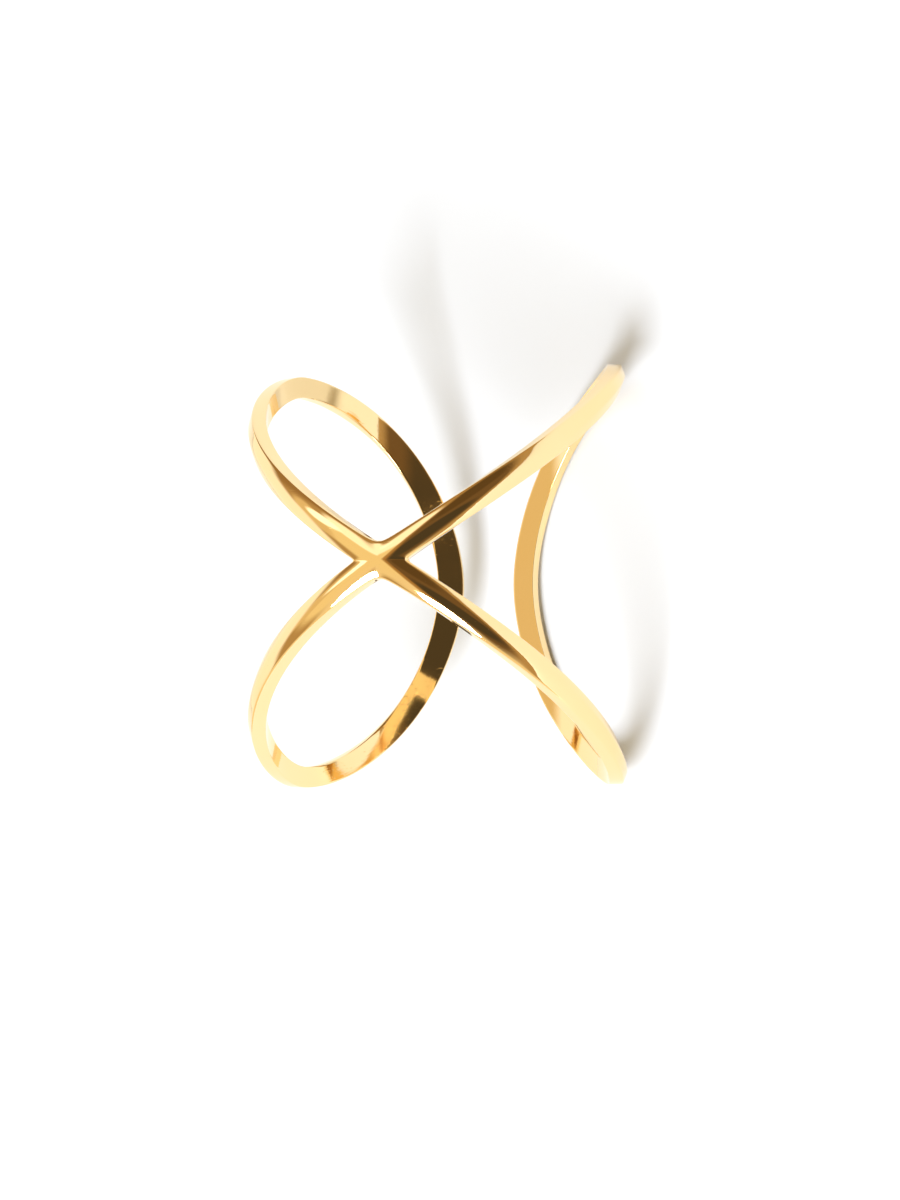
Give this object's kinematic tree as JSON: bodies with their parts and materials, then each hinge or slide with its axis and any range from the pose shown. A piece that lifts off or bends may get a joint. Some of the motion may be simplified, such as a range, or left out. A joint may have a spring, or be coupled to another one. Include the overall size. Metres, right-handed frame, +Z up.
{
  "type": "crossover ring",
  "caption": "Wide open crossover finger ring in polished gold-coloured metal: one slim, softly domed band bent into a figure of eight that crosses at the front and bows round the finger.",
  "frame": {"origin": "on the floor under the middle of the ring as it lies on its rounded side", "axes": "+X along the finger hole, +Z up, +Y away from the side where the crossing lies, which is up and towards -Y"},
  "size_m": [0.021, 0.0188, 0.0186],
  "materials": {
    "gold_band": "high polish, gold plated"
  },
  "bodies": {
    "root": {"crossover_band": "gold_band"}
  },
  "joints": []
}
